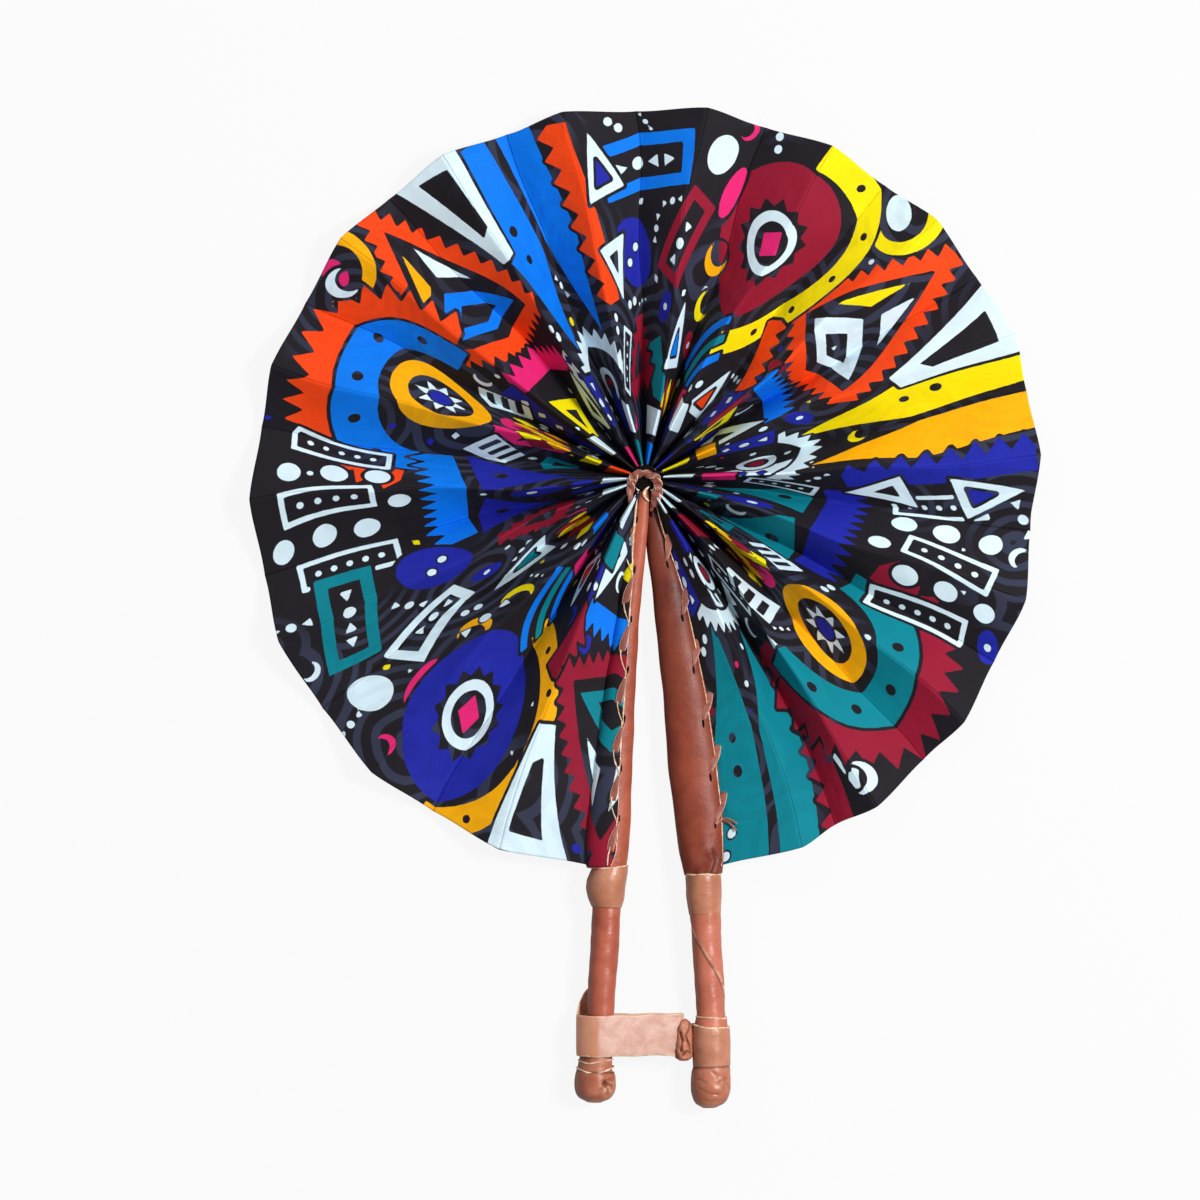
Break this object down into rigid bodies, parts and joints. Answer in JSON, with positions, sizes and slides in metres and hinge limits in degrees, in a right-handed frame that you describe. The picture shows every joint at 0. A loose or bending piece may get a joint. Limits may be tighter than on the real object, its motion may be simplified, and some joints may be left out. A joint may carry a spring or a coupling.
{
  "type": "leather folding fan",
  "caption": "Round pleated cloth fan between two leather covered handles that turn on a laced hub; a strap holds it open.",
  "frame": {"origin": "middle of the bounding rectangle on the surface that the fan lies on", "axes": "+Z out of the front of the open fan, +Y from the handles towards the top of the leaf, +X to the right seen from the front"},
  "size_m": [0.341, 0.4308, 0.0183],
  "materials": {
    "leaf_cloth": "printed cotton, multicoloured geometric bands on a dark ground",
    "leather_brown": "glazed red-brown leather",
    "leather_dark": "glazed dark brown leather",
    "leather_tan": "tan leather with pale raw edges",
    "strap_leather": "matt pinkish tan leather",
    "stick_wood": "plain"
  },
  "bodies": {
    "left_handle": {"left_core": "stick_wood", "left_sleeve": "leather_brown", "left_lacing": "leather_tan", "left_collar": "leather_tan", "left_grip": "leather_brown", "left_binding": "leather_tan", "left_knob": "leather_brown", "hub_lace": "leather_brown"},
    "right_handle": {"right_core": "stick_wood", "right_sleeve": "leather_dark", "right_lacing": "leather_tan", "right_collar": "leather_tan", "right_grip": "leather_brown", "right_lower_collar": "leather_tan", "right_knob": "leather_brown", "strap_tie": "strap_leather"},
    "strap": {"strap_loop": "strap_leather"},
    "pleat_gather_1": {"gather_tie_1": "leather_tan"},
    "pleat_panel_01": {"leaf_panel_01": "leaf_cloth"},
    "pleat_panel_02": {"leaf_panel_02": "leaf_cloth"},
    "pleat_panel_03": {"leaf_panel_03": "leaf_cloth"},
    "pleat_panel_04": {"leaf_panel_04": "leaf_cloth"},
    "pleat_panel_05": {"leaf_panel_05": "leaf_cloth"},
    "pleat_panel_06": {"leaf_panel_06": "leaf_cloth"},
    "pleat_gather_2": {"gather_tie_2": "leather_tan"},
    "pleat_panel_07": {"leaf_panel_07": "leaf_cloth"},
    "pleat_panel_08": {"leaf_panel_08": "leaf_cloth"},
    "pleat_panel_09": {"leaf_panel_09": "leaf_cloth"},
    "pleat_panel_10": {"leaf_panel_10": "leaf_cloth"},
    "pleat_panel_11": {"leaf_panel_11": "leaf_cloth"},
    "pleat_panel_12": {"leaf_panel_12": "leaf_cloth"},
    "pleat_gather_3": {"gather_tie_3": "leather_tan"},
    "pleat_panel_13": {"leaf_panel_13": "leaf_cloth"},
    "pleat_panel_14": {"leaf_panel_14": "leaf_cloth"},
    "pleat_panel_15": {"leaf_panel_15": "leaf_cloth"},
    "pleat_panel_16": {"leaf_panel_16": "leaf_cloth"},
    "pleat_panel_17": {"leaf_panel_17": "leaf_cloth"},
    "pleat_panel_18": {"leaf_panel_18": "leaf_cloth"},
    "pleat_gather_4": {"gather_tie_4": "leather_tan"},
    "pleat_panel_19": {"leaf_panel_19": "leaf_cloth"},
    "pleat_panel_20": {"leaf_panel_20": "leaf_cloth"},
    "pleat_panel_21": {"leaf_panel_21": "leaf_cloth"},
    "pleat_panel_22": {"leaf_panel_22": "leaf_cloth"},
    "pleat_panel_23": {"leaf_panel_23": "leaf_cloth"},
    "pleat_panel_24": {"leaf_panel_24": "leaf_cloth"},
    "pleat_gather_5": {"gather_tie_5": "leather_tan"},
    "pleat_panel_25": {"leaf_panel_25": "leaf_cloth"},
    "pleat_panel_26": {"leaf_panel_26": "leaf_cloth"},
    "pleat_panel_27": {"leaf_panel_27": "leaf_cloth"},
    "pleat_panel_28": {"leaf_panel_28": "leaf_cloth"},
    "pleat_panel_29": {"leaf_panel_29": "leaf_cloth"},
    "pleat_panel_30": {"leaf_panel_30": "leaf_cloth"},
    "pleat_gather_6": {"gather_tie_6": "leather_tan"},
    "pleat_panel_31": {"leaf_panel_31": "leaf_cloth"},
    "pleat_panel_32": {"leaf_panel_32": "leaf_cloth"},
    "pleat_panel_33": {"leaf_panel_33": "leaf_cloth"},
    "pleat_panel_34": {"leaf_panel_34": "leaf_cloth"}
  },
  "joints": [
    {"name": "fan_fold", "type": "hinge", "parent": "left_handle", "child": "right_handle", "pos_m": [0.00009, 0.05593, 0.00915], "axis": [0, 0, 1], "range_deg": [0, 326]},
    {"name": "strap_swing", "type": "hinge", "parent": "right_handle", "child": "strap", "pos_m": [0.01289, -0.18497, 0.00915], "axis": [0, 0, 1], "range_deg": [0, 90], "deforming": ["strap_loop"]},
    {"name": "gather_1_turn", "type": "hinge", "parent": "left_handle", "child": "pleat_gather_1", "pos_m": [0.00009, 0.05593, 0.00915], "axis": [0, 0, 1], "range_deg": [0, 306.46], "deforming": ["gather_tie_1"]},
    {"name": "panel_01_fold", "type": "hinge", "parent": "pleat_gather_1", "child": "pleat_panel_01", "pos_m": [0.00009, 0.05593, 0.00915], "axis": [0.4411, -0.8766, 0.1922], "range_deg": [0, 81.84], "deforming": ["leaf_panel_01"]},
    {"name": "panel_02_fold", "type": "hinge", "parent": "pleat_gather_1", "child": "pleat_panel_02", "pos_m": [0.00009, 0.05593, 0.00915], "axis": [-0.514, 0.8481, 0.1288], "range_deg": [0, 70.68], "deforming": ["leaf_panel_02"]},
    {"name": "panel_03_fold", "type": "hinge", "parent": "pleat_gather_1", "child": "pleat_panel_03", "pos_m": [0.00009, 0.05593, 0.00915], "axis": [0.5633, -0.8242, 0.0585], "range_deg": [0, 70.14], "deforming": ["leaf_panel_03"]},
    {"name": "panel_04_fold", "type": "hinge", "parent": "pleat_gather_1", "child": "pleat_panel_04", "pos_m": [0.00009, 0.05593, 0.00915], "axis": [-0.6186, 0.7851, -0.0316], "range_deg": [0, 70.04], "deforming": ["leaf_panel_04"]},
    {"name": "panel_05_fold", "type": "hinge", "parent": "pleat_gather_1", "child": "pleat_panel_05", "pos_m": [0.00009, 0.05593, 0.00915], "axis": [0.6737, -0.7259, -0.1389], "range_deg": [0, 70.79], "deforming": ["leaf_panel_05"]},
    {"name": "panel_06_fold", "type": "hinge", "parent": "pleat_gather_1", "child": "pleat_panel_06", "pos_m": [0.00009, 0.05593, 0.00915], "axis": [-0.7165, 0.6537, -0.2436], "range_deg": [0, 72.51], "deforming": ["leaf_panel_06"]},
    {"name": "gather_2_turn", "type": "hinge", "parent": "left_handle", "child": "pleat_gather_2", "pos_m": [0.00009, 0.05593, 0.00915], "axis": [0, 0, 1], "range_deg": [0, 252.55], "deforming": ["gather_tie_2"]},
    {"name": "panel_07_fold", "type": "hinge", "parent": "pleat_gather_2", "child": "pleat_panel_07", "pos_m": [0.00009, 0.05593, 0.00915], "axis": [0.9411, -0.1751, 0.2892], "range_deg": [0, 73.62], "deforming": ["leaf_panel_07"]},
    {"name": "panel_08_fold", "type": "hinge", "parent": "pleat_gather_2", "child": "pleat_panel_08", "pos_m": [0.00009, 0.05593, 0.00915], "axis": [-0.9794, 0.0927, 0.1796], "range_deg": [0, 71.33], "deforming": ["leaf_panel_08"]},
    {"name": "panel_09_fold", "type": "hinge", "parent": "pleat_gather_2", "child": "pleat_panel_09", "pos_m": [0.00009, 0.05593, 0.00915], "axis": [0.9985, -0.0004, 0.0554], "range_deg": [0, 70.12], "deforming": ["leaf_panel_09"]},
    {"name": "panel_10_fold", "type": "hinge", "parent": "pleat_gather_2", "child": "pleat_panel_10", "pos_m": [0.00009, 0.05593, 0.00915], "axis": [-0.9939, -0.0888, -0.0657], "range_deg": [0, 70.17], "deforming": ["leaf_panel_10"]},
    {"name": "panel_11_fold", "type": "hinge", "parent": "pleat_gather_2", "child": "pleat_panel_11", "pos_m": [0.00009, 0.05593, 0.00915], "axis": [0.9692, 0.1707, -0.1776], "range_deg": [0, 71.3], "deforming": ["leaf_panel_11"]},
    {"name": "panel_12_fold", "type": "hinge", "parent": "pleat_gather_2", "child": "pleat_panel_12", "pos_m": [0.00009, 0.05593, 0.00915], "axis": [-0.9273, -0.2463, -0.282], "range_deg": [0, 73.43], "deforming": ["leaf_panel_12"]},
    {"name": "gather_3_turn", "type": "hinge", "parent": "left_handle", "child": "pleat_gather_3", "pos_m": [0.00009, 0.05593, 0.00915], "axis": [0, 0, 1], "range_deg": [0, 195.55], "deforming": ["gather_tie_3"]},
    {"name": "panel_13_fold", "type": "hinge", "parent": "pleat_gather_3", "child": "pleat_panel_13", "pos_m": [0.00009, 0.05593, 0.00915], "axis": [0.6383, 0.7152, 0.2847], "range_deg": [0, 73.5], "deforming": ["leaf_panel_13"]},
    {"name": "panel_14_fold", "type": "hinge", "parent": "pleat_gather_3", "child": "pleat_panel_14", "pos_m": [0.00009, 0.05593, 0.00915], "axis": [-0.5894, -0.7878, 0.1791], "range_deg": [0, 71.32], "deforming": ["leaf_panel_14"]},
    {"name": "panel_15_fold", "type": "hinge", "parent": "pleat_gather_3", "child": "pleat_panel_15", "pos_m": [0.00009, 0.05593, 0.00915], "axis": [0.5258, 0.8482, 0.0641], "range_deg": [0, 70.17], "deforming": ["leaf_panel_15"]},
    {"name": "panel_16_fold", "type": "hinge", "parent": "pleat_gather_3", "child": "pleat_panel_16", "pos_m": [0.00009, 0.05593, 0.00915], "axis": [-0.448, -0.8922, -0.0569], "range_deg": [0, 70.13], "deforming": ["leaf_panel_16"]},
    {"name": "panel_17_fold", "type": "hinge", "parent": "pleat_gather_3", "child": "pleat_panel_17", "pos_m": [0.00009, 0.05593, 0.00915], "axis": [0.3591, 0.9161, -0.1781], "range_deg": [0, 71.31], "deforming": ["leaf_panel_17"]},
    {"name": "panel_18_fold", "type": "hinge", "parent": "pleat_gather_3", "child": "pleat_panel_18", "pos_m": [0.00009, 0.05593, 0.00915], "axis": [-0.265, -0.919, -0.2918], "range_deg": [0, 73.69], "deforming": ["leaf_panel_18"]},
    {"name": "gather_4_turn", "type": "hinge", "parent": "left_handle", "child": "pleat_gather_4", "pos_m": [0.00009, 0.05593, 0.00915], "axis": [0, 0, 1], "range_deg": [0, 135.89], "deforming": ["gather_tie_4"]},
    {"name": "panel_19_fold", "type": "hinge", "parent": "pleat_gather_4", "child": "pleat_panel_19", "pos_m": [0.00009, 0.05593, 0.00915], "axis": [-0.3133, 0.9034, 0.2927], "range_deg": [0, 73.72], "deforming": ["leaf_panel_19"]},
    {"name": "panel_20_fold", "type": "hinge", "parent": "pleat_gather_4", "child": "pleat_panel_20", "pos_m": [0.00009, 0.05593, 0.00915], "axis": [0.4072, -0.8956, 0.1791], "range_deg": [0, 71.32], "deforming": ["leaf_panel_20"]},
    {"name": "panel_21_fold", "type": "hinge", "parent": "pleat_gather_4", "child": "pleat_panel_21", "pos_m": [0.00009, 0.05593, 0.00915], "axis": [-0.4947, 0.8671, 0.058], "range_deg": [0, 70.14], "deforming": ["leaf_panel_21"]},
    {"name": "panel_22_fold", "type": "hinge", "parent": "pleat_gather_4", "child": "pleat_panel_22", "pos_m": [0.00009, 0.05593, 0.00915], "axis": [0.5701, -0.8191, -0.0631], "range_deg": [0, 70.16], "deforming": ["leaf_panel_22"]},
    {"name": "panel_23_fold", "type": "hinge", "parent": "pleat_gather_4", "child": "pleat_panel_23", "pos_m": [0.00009, 0.05593, 0.00915], "axis": [-0.6305, 0.7555, -0.1781], "range_deg": [0, 71.31], "deforming": ["leaf_panel_23"]},
    {"name": "panel_24_fold", "type": "hinge", "parent": "pleat_gather_4", "child": "pleat_panel_24", "pos_m": [0.00009, 0.05593, 0.00915], "axis": [0.6774, -0.6764, -0.2892], "range_deg": [0, 73.62], "deforming": ["leaf_panel_24"]},
    {"name": "gather_5_turn", "type": "hinge", "parent": "left_handle", "child": "pleat_gather_5", "pos_m": [0.00009, 0.05593, 0.00915], "axis": [0, 0, 1], "range_deg": [0, 76.09], "deforming": ["gather_tie_5"]},
    {"name": "panel_25_fold", "type": "hinge", "parent": "pleat_gather_5", "child": "pleat_panel_25", "pos_m": [0.00009, 0.05593, 0.00915], "axis": [-0.9413, 0.1605, 0.2969], "range_deg": [0, 73.84], "deforming": ["leaf_panel_25"]},
    {"name": "panel_26_fold", "type": "hinge", "parent": "pleat_gather_5", "child": "pleat_panel_26", "pos_m": [0.00009, 0.05593, 0.00915], "axis": [0.9798, -0.0757, 0.1852], "range_deg": [0, 71.42], "deforming": ["leaf_panel_26"]},
    {"name": "panel_27_fold", "type": "hinge", "parent": "pleat_gather_5", "child": "pleat_panel_27", "pos_m": [0.00009, 0.05593, 0.00915], "axis": [-0.9976, -0.0125, 0.0675], "range_deg": [0, 70.18], "deforming": ["leaf_panel_27"]},
    {"name": "panel_28_fold", "type": "hinge", "parent": "pleat_gather_5", "child": "pleat_panel_28", "pos_m": [0.00009, 0.05593, 0.00915], "axis": [0.9928, 0.105, -0.0582], "range_deg": [0, 70.14], "deforming": ["leaf_panel_28"]},
    {"name": "panel_29_fold", "type": "hinge", "parent": "pleat_gather_5", "child": "pleat_panel_29", "pos_m": [0.00009, 0.05593, 0.00915], "axis": [-0.9628, -0.1966, -0.1852], "range_deg": [0, 71.42], "deforming": ["leaf_panel_29"]},
    {"name": "panel_30_fold", "type": "hinge", "parent": "pleat_gather_5", "child": "pleat_panel_30", "pos_m": [0.00009, 0.05593, 0.00915], "axis": [0.9099, 0.2812, -0.3048], "range_deg": [0, 74.06], "deforming": ["leaf_panel_30"]},
    {"name": "gather_6_turn", "type": "hinge", "parent": "left_handle", "child": "pleat_gather_6", "pos_m": [0.00009, 0.05593, 0.00915], "axis": [0, 0, 1], "range_deg": [0, 23], "deforming": ["gather_tie_6"]},
    {"name": "panel_31_fold", "type": "hinge", "parent": "pleat_gather_6", "child": "pleat_panel_31", "pos_m": [0.00009, 0.05593, 0.00915], "axis": [-0.637, -0.7452, 0.1972], "range_deg": [0, 71.62], "deforming": ["leaf_panel_31"]},
    {"name": "panel_32_fold", "type": "hinge", "parent": "pleat_gather_6", "child": "pleat_panel_32", "pos_m": [0.00009, 0.05593, 0.00915], "axis": [0.5707, 0.8183, 0.0679], "range_deg": [0, 70.19], "deforming": ["leaf_panel_32"]},
    {"name": "panel_33_fold", "type": "hinge", "parent": "pleat_gather_6", "child": "pleat_panel_33", "pos_m": [0.00009, 0.05593, 0.00915], "axis": [-0.4897, -0.8696, -0.0625], "range_deg": [0, 70.16], "deforming": ["leaf_panel_33"]},
    {"name": "panel_34_fold", "type": "hinge", "parent": "pleat_gather_6", "child": "pleat_panel_34", "pos_m": [0.00009, 0.05593, 0.00915], "axis": [0.3901, 0.905, -0.1699], "range_deg": [0, 81.43], "deforming": ["leaf_panel_34"]}
  ],
  "couplings": [
    {"joint": "gather_1_turn", "follows": "fan_fold", "ratio": 0.94006},
    {"joint": "panel_01_fold", "follows": "fan_fold", "ratio": 0.25104},
    {"joint": "panel_02_fold", "follows": "fan_fold", "ratio": 0.2168},
    {"joint": "panel_03_fold", "follows": "fan_fold", "ratio": 0.21515},
    {"joint": "panel_04_fold", "follows": "fan_fold", "ratio": 0.21485},
    {"joint": "panel_05_fold", "follows": "fan_fold", "ratio": 0.21714},
    {"joint": "panel_06_fold", "follows": "fan_fold", "ratio": 0.22243},
    {"joint": "gather_2_turn", "follows": "fan_fold", "ratio": 0.77469},
    {"joint": "panel_07_fold", "follows": "fan_fold", "ratio": 0.22583},
    {"joint": "panel_08_fold", "follows": "fan_fold", "ratio": 0.21881},
    {"joint": "panel_09_fold", "follows": "fan_fold", "ratio": 0.2151},
    {"joint": "panel_10_fold", "follows": "fan_fold", "ratio": 0.21526},
    {"joint": "panel_11_fold", "follows": "fan_fold", "ratio": 0.21872},
    {"joint": "panel_12_fold", "follows": "fan_fold", "ratio": 0.22525},
    {"joint": "gather_3_turn", "follows": "fan_fold", "ratio": 0.59986},
    {"joint": "panel_13_fold", "follows": "fan_fold", "ratio": 0.22547},
    {"joint": "panel_14_fold", "follows": "fan_fold", "ratio": 0.21878},
    {"joint": "panel_15_fold", "follows": "fan_fold", "ratio": 0.21523},
    {"joint": "panel_16_fold", "follows": "fan_fold", "ratio": 0.21512},
    {"joint": "panel_17_fold", "follows": "fan_fold", "ratio": 0.21874},
    {"joint": "panel_18_fold", "follows": "fan_fold", "ratio": 0.22606},
    {"joint": "gather_4_turn", "follows": "fan_fold", "ratio": 0.41685},
    {"joint": "panel_19_fold", "follows": "fan_fold", "ratio": 0.22613},
    {"joint": "panel_20_fold", "follows": "fan_fold", "ratio": 0.21878},
    {"joint": "panel_21_fold", "follows": "fan_fold", "ratio": 0.21514},
    {"joint": "panel_22_fold", "follows": "fan_fold", "ratio": 0.21522},
    {"joint": "panel_23_fold", "follows": "fan_fold", "ratio": 0.21874},
    {"joint": "panel_24_fold", "follows": "fan_fold", "ratio": 0.22583},
    {"joint": "gather_5_turn", "follows": "fan_fold", "ratio": 0.23339},
    {"joint": "panel_25_fold", "follows": "fan_fold", "ratio": 0.22649},
    {"joint": "panel_26_fold", "follows": "fan_fold", "ratio": 0.21908},
    {"joint": "panel_27_fold", "follows": "fan_fold", "ratio": 0.21529},
    {"joint": "panel_28_fold", "follows": "fan_fold", "ratio": 0.21514},
    {"joint": "panel_29_fold", "follows": "fan_fold", "ratio": 0.21908},
    {"joint": "panel_30_fold", "follows": "fan_fold", "ratio": 0.22718},
    {"joint": "gather_6_turn", "follows": "fan_fold", "ratio": 0.070558},
    {"joint": "panel_31_fold", "follows": "fan_fold", "ratio": 0.21968},
    {"joint": "panel_32_fold", "follows": "fan_fold", "ratio": 0.21529},
    {"joint": "panel_33_fold", "follows": "fan_fold", "ratio": 0.21521},
    {"joint": "panel_34_fold", "follows": "fan_fold", "ratio": 0.24977}
  ]
}
